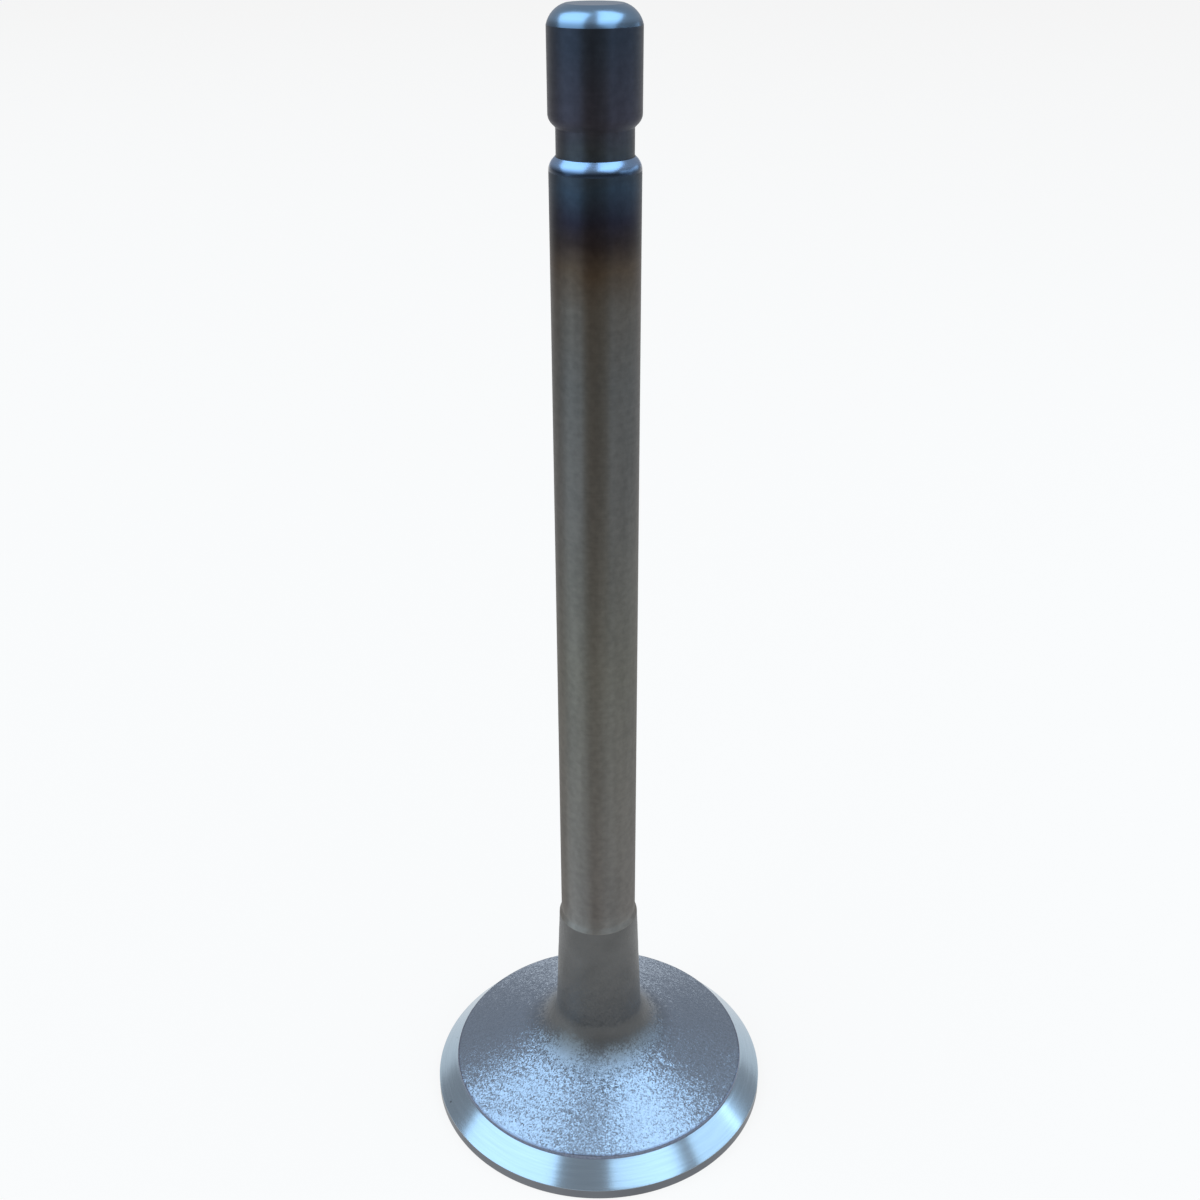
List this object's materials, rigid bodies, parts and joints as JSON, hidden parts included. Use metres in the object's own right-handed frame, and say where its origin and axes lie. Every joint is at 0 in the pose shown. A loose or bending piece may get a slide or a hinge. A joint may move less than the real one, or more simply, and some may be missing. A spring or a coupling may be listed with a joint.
{
  "type": "engine valve",
  "caption": "Poppet valve for a piston engine: a round head with a 45 degree seat that closes a port, on a ground stem with a keeper groove and a hardened tip.",
  "frame": {"origin": "centre of the flat combustion face, at the bottom of the head", "axes": "+Z along the stem, from the combustion face to the tip; the valve is round about Z"},
  "size_m": [0.0402, 0.0402, 0.1257],
  "materials": {
    "valve_steel": "forged head back and neck, ground stem and seat, temper-blued tip"
  },
  "bodies": {
    "root": {"valve": "valve_steel"}
  },
  "joints": []
}
